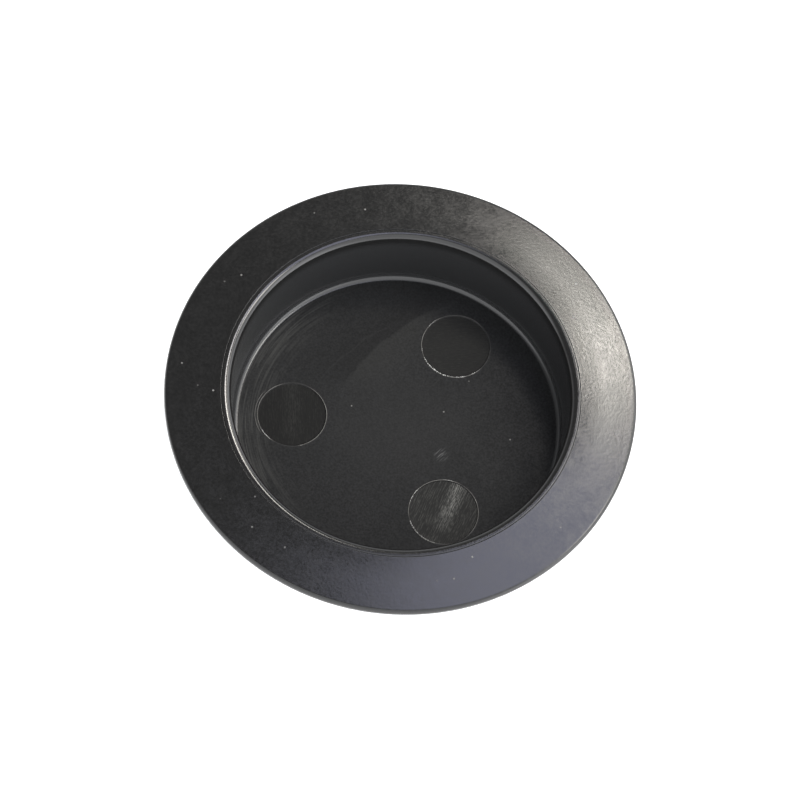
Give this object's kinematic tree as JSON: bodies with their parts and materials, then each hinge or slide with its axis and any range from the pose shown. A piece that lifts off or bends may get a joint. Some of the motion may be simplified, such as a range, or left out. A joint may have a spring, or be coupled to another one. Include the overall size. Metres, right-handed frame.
{
  "type": "desk grommet",
  "caption": "Round black desk grommet with a sloping flange, a sleeve for the desk hole and a closed, recessed cup that lifts out.",
  "frame": {"origin": "on the axis, in the plane of the flange's flat underside, which is the desk top's surface", "axes": "+Z along the axis, up out of the desk; one of the three round marks in the cup's floor lies towards -X"},
  "size_m": [0.073, 0.073, 0.0185],
  "materials": {
    "liner_plastic": "satin black with a fine leathery grain",
    "cup_plastic": "satin black, glossier on the wall, duller on the floor"
  },
  "bodies": {
    "liner": {"liner_ring": "liner_plastic"},
    "cup": {"cup_insert": "cup_plastic"}
  },
  "joints": [
    {"name": "cup_lift", "type": "slide", "parent": "liner", "child": "cup", "axis": [0, 0, 1], "range_m": [0, 0.02]}
  ]
}
